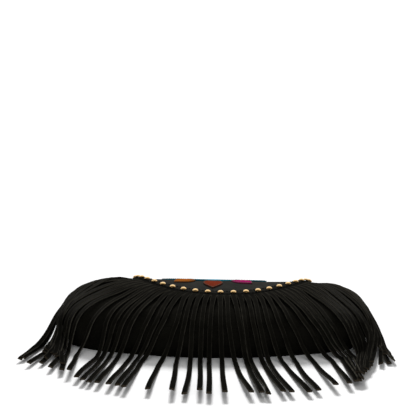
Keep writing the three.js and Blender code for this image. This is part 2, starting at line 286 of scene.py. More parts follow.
# The room fills the shadows evenly. The camera sees it white, and polished metal mirrors it brighter at the
# back and overhead.
studio = bpy.data.worlds.new("studio")
bpy.context.scene.world = studio
studio.use_nodes = True
room = Wire(studio.node_tree)
room_fill = studio.node_tree.nodes["Background"]
room_fill.inputs["Color"].default_value = ROOM_WHITE
room_fill.inputs["Strength"].default_value = ROOM_STRENGTH
looked_at = room.node("ShaderNodeLightPath", output="Is Camera Ray")
mirrored = room.node("ShaderNodeLightPath", output="Is Glossy Ray")
room_way = room.node("ShaderNodeTexCoord", output="Generated")
room_slope = room.node(
    "ShaderNodeVectorMath", {"operation": "DOT_PRODUCT"}, {0: room_way, 1: ROOM_BRIGHTER}, "Value"
)
room_seen = room.node(
    "ShaderNodeBackground", {}, {"Color": ROOM_WHITE, "Strength": room_slope.larger(looked_at)}
)
room_either = room.node(
    "ShaderNodeMixShader",
    {},
    {0: looked_at.larger(mirrored), 1: Wire(room.tree, room_fill.outputs[0]), 2: room_seen},
)
room_either.into(studio.node_tree.nodes["World Output"].inputs["Surface"])

# Back panel: the flat panel of black suede that the bag lies on, cut to the pouch's outline and straight
# across at the mouth. Its edge is folded in and sewn to the gusset. Sizes are in millimetres from here on.

MM = 0.001
TINY = 1e-9
WALL = 2.0
GAP = 0.35
HALF_WIDTH = 147.0
MOUTH_Y = 94.0
BACK_OUT = 0.955
BACK_GRID = 60
# Bearing in degrees from the middle of the bottom edge, and the pouch's reach there.
OUTLINE = [
    (0, 108), (20, 112), (34, 119), (45, 129.5), (52, 137.5), (60, 145.5), (66, 149), (77, 148.5),
    (90, HALF_WIDTH), (105, 150), (120, 157), (135, 160), (150, 147), (180, 134),
]
BLACK = (0.0030, 0.0028, 0.0022)
BLACK_NAP = (0.0107, 0.0101, 0.0078)
BLACK_SHEEN = 0.006
NAP_TINT = (1.0, 0.97, 0.93, 1)
NAP_SHEEN_ROUGH = 0.45
NAP_LUMPS = 75
NAP_LUMPS_SHOW = 1.1
NAP_FIBRES = 900
NAP_FIBRES_SHOW = 0.9
NAP_LIES = 0.62
NAP_ROUGH = 0.98
NAP_SMOOTHED = 0.12
NAP_BUMP = {"Strength": 0.35, "Distance": 0.0006}


def curve_through(rows):
    """Curve through rows of (place, value): a cubic between each two rows, whose slope at a row is the mean
    of the straight slopes on both its sides. It is level beyond the ends."""
    place, value = np.array(rows, float).T
    straight = np.diff(value) / np.diff(place)
    slope = np.concatenate([straight[:1], (straight[1:] + straight[:-1]) / 2, straight[-1:]])

    def at(x):
        x = np.clip(x, place[0], place[-1])
        k = np.clip(np.searchsorted(place, x, side="right") - 1, 0, len(place) - 2)
        step = place[k + 1] - place[k]
        rise = value[k + 1] - value[k]
        t = (x - place[k]) / step
        square = 3 * rise - step * (2 * slope[k] + slope[k + 1])
        cube = step * (slope[k] + slope[k + 1]) - 2 * rise
        return value[k] + t * (step * slope[k] + t * (square + t * cube))

    return at


reach_at = curve_through([(-b, r) for b, r in OUTLINE[:0:-1]] + OUTLINE)


def spots(nu, nv, border=0.012):
    """Two grids, both from -1 to 1, with a narrow row along each side so that the edge shades as a rounded
    one."""
    def line(n):
        return np.concatenate([[-1], np.linspace(-1 + border, 1 - border, n), [1]])

    return np.meshgrid(line(nu), line(nv), indexing="ij")


def on_disc(u, v):
    """A square grid drawn onto a disc: each place's share of the radius and its angle from -Y."""
    across, along = u * np.sqrt(1 - v * v / 2), v * np.sqrt(1 - u * u / 2)
    return np.hypot(across, along), np.arctan2(across, -along)


def panel_plan(out, n):
    """Plan of a panel: a disc stretched to the outline at a share of its reach, and cut straight at the
    mouth."""
    share, angle = on_disc(*spots(n, n))
    to_mouth = MOUTH_Y / np.maximum(-np.cos(angle), TINY)
    far = np.where(np.cos(angle) < 0, to_mouth, np.inf)
    r = share * np.minimum(reach_at(np.degrees(angle)) * out, far)
    return r * np.sin(angle), -r * np.cos(angle)


def closed_sheets(outer, inner):
    """Points and quads of closed sheets, one for each first index: the outer face, the inner face turned
    over, and a rim between their borders."""
    count, nu, nv = outer.shape[:3]
    index = np.arange(nu * nv).reshape(nu, nv)
    top = np.stack([index[:-1, :-1], index[1:, :-1], index[1:, 1:], index[:-1, 1:]], -1).reshape(-1, 4)
    loop = np.concatenate([index[:-1, 0], index[-1, :-1], index[:0:-1, -1], index[0, :0:-1]])
    ahead = np.roll(loop, -1)
    rim = np.stack([ahead, loop, loop + nu * nv, ahead + nu * nv], -1)
    quads = np.concatenate([top, top[:, ::-1] + nu * nv, rim])
    points = np.concatenate([outer.reshape(count, -1, 3), inner.reshape(count, -1, 3)], axis=1)
    shift = 2 * nu * nv * np.arange(count)[:, None, None]
    return points.reshape(-1, 3), (quads[None] + shift).reshape(-1, 4)


def turned_out(points, quads):
    """The quads, each turned over if the body that they close has its faces inwards."""
    a, b, c, d = (points[quads[:, k]] for k in range(4))
    volume = np.einsum("ij,ij->", a, np.cross(b, c)) + np.einsum("ij,ij->", a, np.cross(c, d))
    return quads if volume > 0 else quads[:, ::-1]


def cut_from(grid):
    """The flat cut of a surface given as a grid of points in millimetres: its longest row and column in its
    middle half, measured along the surface, and its area. All in metres."""
    nu, nv = grid.shape[:2]
    across = np.linalg.norm(np.diff(grid[:, nv // 4 : -(nv // 4)], axis=0), axis=-1).sum(0).max()
    along = np.linalg.norm(np.diff(grid[nu // 4 : -(nu // 4)], axis=1), axis=-1).sum(1).max()
    square = np.cross(grid[1:, 1:] - grid[:-1, :-1], grid[1:, :-1] - grid[:-1, 1:])
    area = np.linalg.norm(square, axis=-1).sum() / 2
    return {"flat": (across * MM, along * MM), "area": area * MM * MM}


def bag_piece(name, points, quads, material, slot, marks=None):
    """A piece of the bag from points in millimetres and quads. Marks are values at its points for the
    material."""
    mesh = bpy.data.meshes.new(name)
    mesh.from_pydata((points * MM).tolist(), [], turned_out(points, quads).tolist())
    for label, values in (marks or {}).items():
        mark = mesh.attributes.new(label, "FLOAT", "POINT")
        mark.data.foreach_set("value", np.ascontiguousarray(values, np.float32).ravel())
    mesh.shade_smooth()
    mesh.materials.append(material)
    piece = bpy.data.objects.new(name, mesh)
    bpy.context.scene.collection.objects.link(piece)
    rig.ride(piece, "root")
    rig.slot(piece, slot)
    return piece


def suede(name, deep, raised, sheen, finish=None):
    """Napped suede: brushed lumps a centimetre across and fibres under a millimetre, between the colour of
    nap that lies away from the light and of nap that stands up. Finish changes the colour after that."""
    material, sockets, start = new_material(name)
    sockets["Sheen Weight"].default_value = sheen
    sockets["Sheen Roughness"].default_value = NAP_SHEEN_ROUGH
    sockets["Sheen Tint"].default_value = NAP_TINT
    sockets["Specular IOR Level"].default_value = 0.0
    brushed = start.noise(NAP_LUMPS, detail=3)
    fibres = start.noise(NAP_FIBRES, detail=3, rough=0.7)
    stands_up = brushed * NAP_LUMPS_SHOW + fibres * NAP_FIBRES_SHOW - NAP_LIES
    colour = stands_up.clamped().blended(deep, raised)
    if finish:
        colour = finish(start, colour)
    colour.into(sockets["Base Color"])
    (NAP_ROUGH - brushed * NAP_SMOOTHED).into(sockets["Roughness"])
    start.node("ShaderNodeBump", {}, {**NAP_BUMP, "Height": fibres}).into(sockets["Normal"])
    return material


black_suede = suede("black_suede", BLACK, BLACK_NAP, BLACK_SHEEN)

back_x, back_y = panel_plan(BACK_OUT, BACK_GRID)
back_low = np.stack([back_x, back_y, np.zeros_like(back_x)], -1)
back_points, back_quads = closed_sheets((back_low + [0, 0, WALL])[None], back_low[None])
back_panel = bag_piece("pouch_back", back_points, back_quads, black_suede, "black_suede")
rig.replaces(back_panel, "back_panel")
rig.sheet(back_panel, **cut_from(back_low), held="laid", rests_on=["table"])

# Gusset: the strip of black suede round the pouch between its two panels, sewn to both and open at the
# mouth. The stuffing bulges it outwards, most below its middle.

LEAN = 0.05
# Height of the stuffed form along y, and its share of that from the middle to the outline.
FULLNESS = [
    (-110, 31), (-75, 35), (-37, 40), (-10, 44.8), (5, 45.6), (25, 43), (50, 37), (75, 30.5),
    (100, 24), (160, 10),
]
CROWN = [
    (0, 1), (0.4, 1.005), (0.62, 1.005), (0.75, 0.985), (0.84, 0.92), (0.9, 0.83), (0.95, 0.7),
    (0.985, 0.52), (1, 0.34),
]
FRONT_SEAM_OUT = 0.93
SEAM_GAP = 0.25
# Share of the way from the front seam to the back seam, and there the share of the reach and of the height.
GUSSET_OUT = [(0, 0.933), (0.25, 0.983), (0.5, 1.0), (0.75, 0.988), (1, 0.96)]
GUSSET_RISE = [(0, 1.0), (0.25, 0.7), (0.5, 0.4), (0.75, 0.15), (1, 0.0)]
GUSSET_GRID = (260, 16)
GUSSET_BORDER = 0.006
MOUTH_STEPS = 600
PUCKERS = 46
PUCKER_DEEP = 0.35
SLACK_WAVES = 9
SLACK_SLANT = 3
SLACK_DEEP = 0.9

fullness_at = curve_through(FULLNESS)
crown_at = curve_through(CROWN)
gusset_out_at = curve_through(GUSSET_OUT)
gusset_rise_at = curve_through(GUSSET_RISE)


def share_out(x, y):
    """How far out a place is: its distance from the middle over the outline's reach at its bearing."""
    return np.hypot(x, y) / reach_at(np.degrees(np.arctan2(x, -y)))


def crown_height(x, y):
    """Height of the stuffed form: its fullness at y, a little more on the left, times the crown's share."""
    full = fullness_at(y) * (1 - LEAN * x / HALF_WIDTH)
    return full * crown_at(np.minimum(share_out(x, y), 1))


def outline_point(bearing, out):
    """Place on the outline at a bearing in degrees from -Y, drawn in to a share of its reach."""
    angle = np.radians(bearing)
    r = reach_at(bearing) * out
    return r * np.sin(angle), -r * np.cos(angle)


def normals_of(grid):
    """Unit normals of a grid of points, by the cross product of its two directions."""
    normal = np.cross(np.gradient(grid, axis=0), np.gradient(grid, axis=1))
    return normal / np.maximum(np.linalg.norm(normal, axis=-1, keepdims=True), TINY)


def gusset_face():
    """Grid of the gusset: at each share of the way from the front seam to the back seam, the outline bulged
    by the tables from one side of the mouth to the other. Fine puckers and slack waves, which die out at
    both seams, draw it in."""
    u, v = spots(*GUSSET_GRID, GUSSET_BORDER)
    along = (1 - v) / 2
    out = gusset_out_at(along)
    wide = np.linspace(90, 180, MOUTH_STEPS)
    ends = np.array([np.interp(MOUTH_Y, outline_point(wide, o)[1], wide) for o in out[0]])
    bearing = u * ends
    x, y = outline_point(bearing, out)
    seam_x, seam_y = outline_point(bearing, FRONT_SEAM_OUT)
    seam = crown_height(seam_x, seam_y) - SEAM_GAP
    turn = np.radians(bearing)
    pucker = PUCKER_DEEP * np.sin(turn * PUCKERS) * np.sin(np.pi * along) ** 2
    slack = SLACK_DEEP * np.sin(turn * SLACK_WAVES + SLACK_SLANT * along) * np.sin(np.pi * along)
    shrink = 1 - np.maximum(pucker + slack, 0) / HALF_WIDTH
    low = WALL + GAP
    return np.stack([x * shrink, y * shrink, low + (seam - low) * gusset_rise_at(along)], -1)


gusset_outer = gusset_face()
gusset_points, gusset_quads = closed_sheets(
    gusset_outer[None], (gusset_outer - WALL * normals_of(gusset_outer))[None]
)
gusset = bag_piece("pouch_gusset", gusset_points, gusset_quads, black_suede, "black_suede")
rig.replaces(gusset, "gusset")
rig.sheet(gusset, **cut_from(gusset_outer), held="stretched", rests_on=[back_panel])

# Front panel: a domed panel of black suede, open at the mouth. Its edge is turned in and sewn to the gusset
# with black thread, which pulls shallow dents into it.

FRONT_GRID = 110
DENT_DEEP = 0.9
DENTS_FROM = 0.45
DENTS_RISE = 0.4
DENTS_MEAN = 0.5
BROAD_DENTS = 17
BROAD_SHARE = 0.3
SWAY_WAVES = 3
SWAY_WIDE = 2
FINE_DENTS = 31
FINE_SHARE = 0.2
FINE_SLANT = 9


def front_dents(x, y):
    """Shallow dents of the slack suede: uneven broad waves and slanted fine ones round the pouch, deepest near
    the seam."""
    out = share_out(x, y)
    turn = np.arctan2(x, -y)
    deep = np.clip((out - DENTS_FROM) / DENTS_RISE, 0, 1) ** 2
    broad = np.sin(BROAD_DENTS * turn + SWAY_WIDE * np.sin(SWAY_WAVES * turn))
    fine = np.sin(FINE_DENTS * turn + FINE_SLANT * out)
    return -DENT_DEEP * deep * (DENTS_MEAN + BROAD_SHARE * broad + FINE_SHARE * fine)


front_x, front_y = panel_plan(FRONT_SEAM_OUT, FRONT_GRID)
front_outer = np.stack(
    [front_x, front_y, crown_height(front_x, front_y) + front_dents(front_x, front_y)], -1
)
front_normal = normals_of(front_outer)
front_normal *= np.sign(front_normal[..., 2:])
front_points, front_quads = closed_sheets(front_outer[None], (front_outer - WALL * front_normal)[None])
front_panel = bag_piece("pouch_front", front_points, front_quads, black_suede, "black_suede")
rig.replaces(front_panel, "front_panel")
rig.sheet(front_panel, **cut_from(front_outer), held="stretched", rests_on=[gusset])

# Flap: charcoal suede that starts at the back panel's top edge, folds round over the mouth and lies on the
# front, cut to a half round. Its nap is brushed one way, so it looks greyer than the black suede.

FLAP_RADIUS = 92.0
FLAP_X = 6.0
FLAP_Y = 54.0
FLAP_THICK = 1.8
FLAP_GRID = (90, 130)
FOLD_Y = 95.0
FOLD_BULGE = 14.0
FOLD_SHARE = 0.4
RIPPLE_HIGH = 0.25
RIPPLE_ACROSS = 11
RIPPLE_SWAY = 17
RIPPLE_ALONG = 23
CHARCOAL = (0.018, 0.0176, 0.0159)
CHARCOAL_NAP = (0.040, 0.0395, 0.0357)
CHARCOAL_SHEEN = 0.012


def flap_face(lift, bulge, floor):
    """One face of the flap: a half turn round the fold, then along the crown, with faint ripples, to the
    half-round edge."""
    u, v = spots(*FLAP_GRID)
    v = (v + 1) / 2
    across = FLAP_RADIUS * np.sin(u * np.pi / 2)
    x = FLAP_X + across
    turn = np.minimum(v / FOLD_SHARE, 1) * np.pi
    top = crown_height(x, FOLD_Y) + lift
    fold_z = floor + (top - floor) * (1 - np.cos(turn)) / 2
    edge_y = FLAP_Y - np.sqrt(np.maximum(0, FLAP_RADIUS**2 - across**2))
    y = FOLD_Y + (edge_y - FOLD_Y) * np.maximum(v - FOLD_SHARE, 0) / (1 - FOLD_SHARE)
    folded = v < FOLD_SHARE
    ripple = RIPPLE_HIGH * np.sin(x / RIPPLE_ACROSS + np.sin(y / RIPPLE_SWAY)) * np.sin(y / RIPPLE_ALONG + 1)
    z = np.where(folded, fold_z, crown_height(x, y) + lift + ripple)
    return np.stack([x, np.where(folded, FOLD_Y + bulge * np.sin(turn), y), z], -1)


charcoal_suede = suede("charcoal_suede", CHARCOAL, CHARCOAL_NAP, CHARCOAL_SHEEN)
flap_outer = flap_face(GAP + FLAP_THICK, FOLD_BULGE, 0.0)
flap_inner = flap_face(GAP, FOLD_BULGE - FLAP_THICK, FLAP_THICK)
flap_points, flap_quads = closed_sheets(flap_outer[None], flap_inner[None])
flap = bag_piece("flap_suede", flap_points, flap_quads, charcoal_suede, "charcoal_suede")
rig.replaces(flap, "flap")

# Edge band: a strip of black suede laid over the flap's edge and sewn down along both sides with black
# waxed thread, over the head of the fringe.

BAND_INNER = 86.5
BAND_OUTER = 94.9
BAND_THICK = 1.6
BAND_ARM = 30.0
BAND_PILLOW = 0.6
BAND_DROOP = 1.6
BAND_GRID = (300, 14)
BAND_BORDER = 0.03
PILLOW_FLAT = 6
STUD_LINE = 91.5
FLAP_TOP = GAP + FLAP_THICK
BAND_LOW = FLAP_TOP + GAP
BAND_TOP = BAND_LOW + BAND_THICK
EDGE_HALF = STUD_LINE * np.pi / 2 + BAND_ARM
SLOPE_STEP = 0.5
BAND_GREY = (0.010, 0.0097, 0.0085)
BAND_NAP = (0.025, 0.0243, 0.0212)
BAND_SHEEN = 0.008
STITCH_PITCH = 3.4
STITCH_LONG = 2.5
STITCH_RADIUS = 0.32
STITCH_IN = 1.3
STITCH_SUNK = 0.12
STITCH_ENDS = 3
# A stitch's rings: place along its half length and share of its radius.
THREAD_ALONG = np.array([-1, -0.75, -0.3, 0.3, 0.75, 1])
THREAD_FULL = np.array([0.45, 0.85, 1, 1, 0.85, 0.45])
THREAD_SIDES = 6
THREAD_RISE = 0.75
THREAD_DIVE = 1.3
THREAD_FIBRES = 2500
THREAD_ROUGH = 0.6
THREAD_DULLER = 0.2
BLACK_THREAD = ((0.003, 0.003, 0.003), (0.009, 0.009, 0.008))


def beside_edge(s, r):
    """Place beside the flap's edge: s runs along the stud line from its middle, r is measured from the half
    round's centre, and the arms run straight back."""
    turn = np.clip(s / STUD_LINE, -np.pi / 2, np.pi / 2)
    arm = np.maximum(0, np.abs(s) - STUD_LINE * np.pi / 2)
    return FLAP_X + r * np.sin(turn), FLAP_Y - r * np.cos(turn) + arm


def edge_strip(inner, outer, low, thick, grid, pillow, droop=0.0):
    """A strip laid along the flap's edge between two radii, its top pillowed up from both sides and its outer
    side drooping."""
    u, v = spots(*grid, BAND_BORDER)
    x, y = beside_edge(u * EDGE_HALF, inner + (outer - inner) * (v + 1) / 2)
    base = crown_height(x, y) - droop * np.clip(v, 0, 1) ** 2
    rounded = pillow * (1 - np.abs(v) ** PILLOW_FLAT)
    top = np.stack([x, y, base + low + thick - pillow + rounded], -1)
    return top, np.stack([x, y, base + low], -1)


def crown_normal(x, y):
    """The crown's unit normal at places, from its slopes."""
    slope_x = (crown_height(x + SLOPE_STEP, y) - crown_height(x - SLOPE_STEP, y)) / (2 * SLOPE_STEP)
    slope_y = (crown_height(x, y + SLOPE_STEP) - crown_height(x, y - SLOPE_STEP)) / (2 * SLOPE_STEP)
    normal = np.stack([-slope_x, -slope_y, np.ones_like(slope_x)], -1)
    return normal / np.linalg.norm(normal, axis=-1, keepdims=True)


def tube_walls(rings, sides):
    """Quads between the rings of a tube, whose points are numbered ring by ring."""
    k, j = np.meshgrid(np.arange(rings - 1), np.arange(sides), indexing="ij")
    after = (j + 1) % sides
    near, far = k * sides, (k + 1) * sides
    return np.stack([near + j, near + after, far + after, far + j], -1).reshape(-1, 4)


def repeated(points, quads):
    """Points and quads of like bodies from each body's points and one body's quads."""
    shift = points.shape[1] * np.arange(len(points))[:, None, None]
    return points.reshape(-1, 3), (quads[None] + shift).reshape(-1, 4)


def threads(line, normal, length, radius):
    """Stitches centred on a line of points: each a short tube along the line, arched up in its middle and sunk
    at both ends. Returns points and quads."""
    along = np.gradient(line, axis=0)
    along /= np.linalg.norm(along, axis=1, keepdims=True)
    side = np.cross(normal, along)
    thick = radius * THREAD_FULL
    arch = radius * (THREAD_RISE - THREAD_DIVE * THREAD_ALONG**4)
    angle = np.arange(THREAD_SIDES) * 2 * np.pi / THREAD_SIDES
    ring = line[:, None, None] + along[:, None, None] * (THREAD_ALONG * length / 2)[:, None, None]
    ring = ring + side[:, None, None] * (thick[:, None] * np.cos(angle))[..., None]
    points = ring + normal[:, None, None] * (arch[:, None] + thick[:, None] * np.sin(angle))[..., None]
    rings = len(THREAD_ALONG)
    near_end = np.array([[0, 3, 2, 1], [0, 5, 4, 3]])
    far_end = np.array([[0, 1, 2, 3], [0, 3, 4, 5]]) + (rings - 1) * THREAD_SIDES
    quads = np.concatenate([tube_walls(rings, THREAD_SIDES), near_end, far_end])
    return repeated(points.reshape(len(line), -1, 3), quads)


def joined(bodies):
    """Several bodies' points and quads as one."""
    starts = np.cumsum([0] + [len(points) for points, _ in bodies[:-1]])
    points = np.concatenate([points for points, _ in bodies])
    return points, np.concatenate([quads + start for (_, quads), start in zip(bodies, starts)])


def waxed_thread(name, dark, light):
    """Twisted waxed thread: two close colours in fine noise, with a little gloss."""
    material, sockets, start = new_material(name)
    twist = start.noise(THREAD_FIBRES)
    twist.blended(dark, light).into(sockets["Base Color"])
    (THREAD_ROUGH + twist * THREAD_DULLER).into(sockets["Roughness"])
    sockets["Specular IOR Level"].default_value = 0.0
    return material


band_top, band_under = edge_strip(
    BAND_INNER, BAND_OUTER, BAND_LOW, BAND_THICK, BAND_GRID, BAND_PILLOW, BAND_DROOP
)
band_points, band_quads = closed_sheets(band_top[None], band_under[None])
band_suede = suede("band_suede", BAND_GREY, BAND_NAP, BAND_SHEEN)
edge_band = bag_piece("flap_edge_band", band_points, band_quads, band_suede, "black_suede")
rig.replaces(edge_band, "edge_band")


def edge_stitches(r):
    """A row of stitches on the band at one radius."""
    places = np.arange(-EDGE_HALF + STITCH_ENDS, EDGE_HALF - STITCH_ENDS, STITCH_PITCH)
    x, y = beside_edge(places, r)
    beyond = max(0, 2 * (r - BAND_INNER) / (BAND_OUTER - BAND_INNER) - 1)
    z = crown_height(x, y) + BAND_TOP - STITCH_SUNK - BAND_DROOP * beyond**2
    return threads(np.stack([x, y, z], -1), crown_normal(x, y), STITCH_LONG, STITCH_RADIUS)


black_thread = waxed_thread("black_thread", *BLACK_THREAD)
band_rows = joined([edge_stitches(BAND_INNER + STITCH_IN), edge_stitches(BAND_OUTER - STITCH_IN)])
band_stitches = bag_piece("flap_band_stitches", *band_rows, black_thread, "black_suede")

# Studs: turned pale-gold brass domes with a thin rim, riveted through the band at an even pitch along its
# middle, and polished. Low down, where the rim meets the suede, painted shade and a painted dark reflection brown
# them.

STUD_PITCH = 12.0
STUDS_PER_SIDE = 14
STUD_RADIUS = 2.8
STUD_HEIGHT = 1.9
STUD_SEAT = 0.3
STUD_SIDES = 20
# From the middle of the foot round the rim to the peak: share of the radius and of the height.
STUD_PROFILE = [
    (0.0, -0.02), (0.97, -0.02), (1.0, 0.03), (1.0, 0.1), (0.97, 0.24), (0.91, 0.41), (0.82, 0.57),
    (0.7, 0.71), (0.54, 0.84), (0.36, 0.93), (0.18, 0.985), (0.0, 1.0),
]
GOLD = (0.80, 0.54, 0.24)
# Painted shade and dark reflection: the gold turns this brown towards each dome's foot.
GOLD_SHADED = (0.34, 0.17, 0.05)
GOLD_ROUGH = 0.16
TURNING_MARKS = 700
TURNING_ROUGH = 0.12
FOOT_SHADE_FADES = 2.4
FOOT_SHADE_LEAST = 0.5
FOOT_SHADE_GRAINS = 1500
FOOT_SHADE_UNEVEN = 0.8
FOOT_SHADE_ROUGH = 0.3


def domes(centres, normals):
    """Domes: the profile turned about each normal. The two rings at the axis are single points."""
    r, h = np.array(STUD_PROFILE).T
    r, h = r * STUD_RADIUS, h * STUD_HEIGHT
    across = np.cross(normals, [0.0, 1.0, 0.0])
    across /= np.linalg.norm(across, axis=1, keepdims=True)
    ahead = np.cross(normals, across)
    n = STUD_SIDES
    angle = np.arange(n) * 2 * np.pi / n
    around = across[:, None] * np.cos(angle)[:, None] + ahead[:, None] * np.sin(angle)[:, None]
    rings = centres[:, None, None] + r[1:-1, None, None] * around[:, None]
    rings = rings + (h[1:-1, None] * normals[:, None])[:, :, None]
    foot = centres + h[0] * normals
    peak = centres + h[-1] * normals
    points = np.concatenate([rings.reshape(len(centres), -1, 3), foot[:, None], peak[:, None]], axis=1)
    turned = len(r) - 2
    last = (turned - 1) * n
    foot_index, peak_index = turned * n, turned * n + 1
    pairs = np.arange(0, n, 2)
    after = (pairs + 2) % n
    under = np.stack([np.full(n // 2, foot_index), after, pairs + 1, pairs], -1)
    over = np.stack([np.full(n // 2, peak_index), last + pairs, last + pairs + 1, last + after], -1)
    return repeated(points, np.concatenate([tube_walls(turned, n), under, over]))


def polished_gold():
    """Pale-gold brass: polished, with faint turning marks, and painted brown low down as shade and dark reflection."""
    material, sockets, start = new_material("pale_gold")
    sockets["Metallic"].default_value = 1.0
    low_down = (1 - start.mark("rise") * FOOT_SHADE_FADES).clamped()
    # Painted shade and dark reflection, brown towards the dome's foot in uneven grains; it roughens the gold there
    # too.
    painted_foot_shade = low_down * (FOOT_SHADE_LEAST + start.noise(FOOT_SHADE_GRAINS) * FOOT_SHADE_UNEVEN)
    painted_foot_shade.clamped().blended(GOLD, GOLD_SHADED).into(sockets["Base Color"])
    rough = GOLD_ROUGH + start.noise(TURNING_MARKS) * TURNING_ROUGH + painted_foot_shade * FOOT_SHADE_ROUGH
    rough.clamped().into(sockets["Roughness"])
    return material


stud_places = np.arange(-STUDS_PER_SIDE, STUDS_PER_SIDE + 1) * STUD_PITCH
stud_x, stud_y = beside_edge(stud_places, STUD_LINE)
stud_centres = np.stack([stud_x, stud_y, crown_height(stud_x, stud_y) + BAND_TOP + STUD_SEAT], -1)
stud_normals = crown_normal(stud_x, stud_y)
stud_points, stud_quads = domes(stud_centres, stud_normals)
stud_rise = np.einsum(
    "ijk,ik->ij", stud_points.reshape(len(stud_places), -1, 3) - stud_centres[:, None], stud_normals
)
studs = bag_piece(
    "edge_studs", stud_points, stud_quads, polished_gold(), "pale_gold", {"rise": stud_rise / STUD_HEIGHT}
)
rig.replaces(studs, *[f"stud_{k + 1:02d}" for k in range(len(stud_places))])

# Rosette: pieces of dyed leather cut to a scalloped round and eight petals, glued to the flap and whipped
# down round their edges with pale thread.

ROSETTE_X = -2.0
ROSETTE_Y = 33.0
ROSETTE_THICK = 1.0
ROSETTE_LOW = FLAP_TOP + GAP
CUT_ROUNDED = 0.35
CUT_SHARP = 8
CENTRE_RADIUS = 28.0
CENTRE_SPOTS = (50, 50, 0.02)
SCALLOP = 1.6
PETALS = 8
PETAL_START = 31.0
PETAL_LONG = 23.0
PETAL_HALF = 9.5
PETAL_BASE = 0.14
PETAL_BLUNT = 0.8
PETAL_SPOTS = (10, 26, 0.03)
WHIP_PITCH = 2.2
WHIP_SHARE = 0.78
WHIP_RADIUS = 0.3
WHIP_HIGH = 0.75
WHIP_IN = 0.5
ROUND_STEPS = 240
PETAL_STEPS = 40
PETAL_WHIP_SIDE = 0.95
PETAL_WHIP_END = 0.97
PALE_THREAD = ((0.10, 0.09, 0.068), (0.22, 0.20, 0.155))
LEATHERS = {
    "teal_leather": ((0.002, 0.21, 0.32), (0.005, 0.35, 0.48)),
    "rust_leather": ((0.12, 0.018, 0.008), (0.24, 0.042, 0.02)),
    "magenta_leather": ((0.22, 0.006, 0.075), (0.40, 0.018, 0.14)),
    "orange_leather": ((0.24, 0.055, 0.003), (0.40, 0.12, 0.008)),
}
PETAL_LEATHERS = ["rust_leather", "magenta_leather", "teal_leather", "orange_leather"]
LEATHER_ROUGH = 0.62
DYE_DEEPER = 0.1
PEBBLES = 900
PEBBLE_WIDE = 2.2
PEBBLE_PALER = 0.35
PEBBLE_GLOSS = 0.12
PEBBLE_BUMP = {"Strength": 0.4, "Distance": 0.0004}
RUB_LUMPS = 160
RUB_PALER = 0.8
RUB_DULLER = 0.1


def dyed_leather(name, dark, light):
    """Matt dyed leather: fine pebbled grain, dye that gathers in the grain, and paler rubbed lumps."""
    material, sockets, start = new_material(name)
    place = start.node("ShaderNodeTexCoord", output="Object")
    grain = start.node(
        "ShaderNodeTexVoronoi", {"feature": "DISTANCE_TO_EDGE"}, {"Vector": place, "Scale": PEBBLES}
    )
    pebble = (grain * PEBBLE_WIDE).clamped()
    rubbed = start.noise(RUB_LUMPS, detail=3)
    paler = rubbed * RUB_PALER + pebble * PEBBLE_PALER - DYE_DEEPER
    paler.clamped().blended(dark, light).into(sockets["Base Color"])
    (LEATHER_ROUGH - pebble * PEBBLE_GLOSS + rubbed * RUB_DULLER).into(sockets["Roughness"])
    sockets["Specular IOR Level"].default_value = 0.0
    start.node("ShaderNodeBump", {}, {**PEBBLE_BUMP, "Height": pebble}).into(sockets["Normal"])
    return material


leather = {name: dyed_leather(name, *colours) for name, colours in LEATHERS.items()}
pale_thread = waxed_thread("pale_thread", *PALE_THREAD)


def spoke(angle, r, side=0.0):
    """Place on the flap at a distance along a spoke of the rosette and to one side of it."""
    x = ROSETTE_X + r * np.sin(angle) + side * np.cos(angle)
    return x, ROSETTE_Y - r * np.cos(angle) + side * np.sin(angle)


def cut_leather(x, y, edge):
    """A cut piece on the flap from its plan: flat, with its top drawn down where edge comes to 1."""
    base = crown_height(x, y) + ROSETTE_LOW
    top = base + ROSETTE_THICK - CUT_ROUNDED * edge**CUT_SHARP
    return closed_sheets(np.stack([x, y, top], -1)[None], np.stack([x, y, base], -1)[None])


def run_along(line):
    """Length along a line of points from its start to each of them."""
    return np.concatenate([[0], np.cumsum(np.linalg.norm(np.diff(line, axis=0), axis=1))])


def whipped(x, y):
    """Stitches set along a closed outline, one at each pitch."""
    ring = np.stack([np.append(x, x[0]), np.append(y, y[0])], -1)
    run = run_along(ring)
    at = np.arange(0, run[-1] - WHIP_PITCH / 2, run[-1] / round(run[-1] / WHIP_PITCH))
    sx, sy = np.interp(at, run, ring[:, 0]), np.interp(at, run, ring[:, 1])
    line = np.stack([sx, sy, crown_height(sx, sy) + ROSETTE_LOW + ROSETTE_THICK * WHIP_HIGH], -1)
    return threads(line, crown_normal(sx, sy), WHIP_PITCH * WHIP_SHARE, WHIP_RADIUS)


def scalloped(angle, inwards=0.0):
    """The round's radius at an angle: it waves once for each petal."""
    return CENTRE_RADIUS - inwards + SCALLOP * np.cos(PETALS * angle)


def petal_plan(angle, u, v):
    """A petal: straight along its spoke, swelling and closing in again by a sine of the way along."""
    along = (v + 1) / 2
    swell = np.sin(np.pi * (PETAL_BASE + (1 - PETAL_BASE) * along) ** PETAL_BLUNT)
    return spoke(angle, PETAL_START + PETAL_LONG * along, u * PETAL_HALF * swell)


centre_share, centre_angle = on_disc(*spots(*CENTRE_SPOTS))
centre_x, centre_y = spoke(centre_angle, centre_share * scalloped(centre_angle))
rosette_centre = bag_piece(
    "rosette_round", *cut_leather(centre_x, centre_y, centre_share), leather["teal_leather"], "teal_leather"
)
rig.replaces(rosette_centre, "rosette_centre")

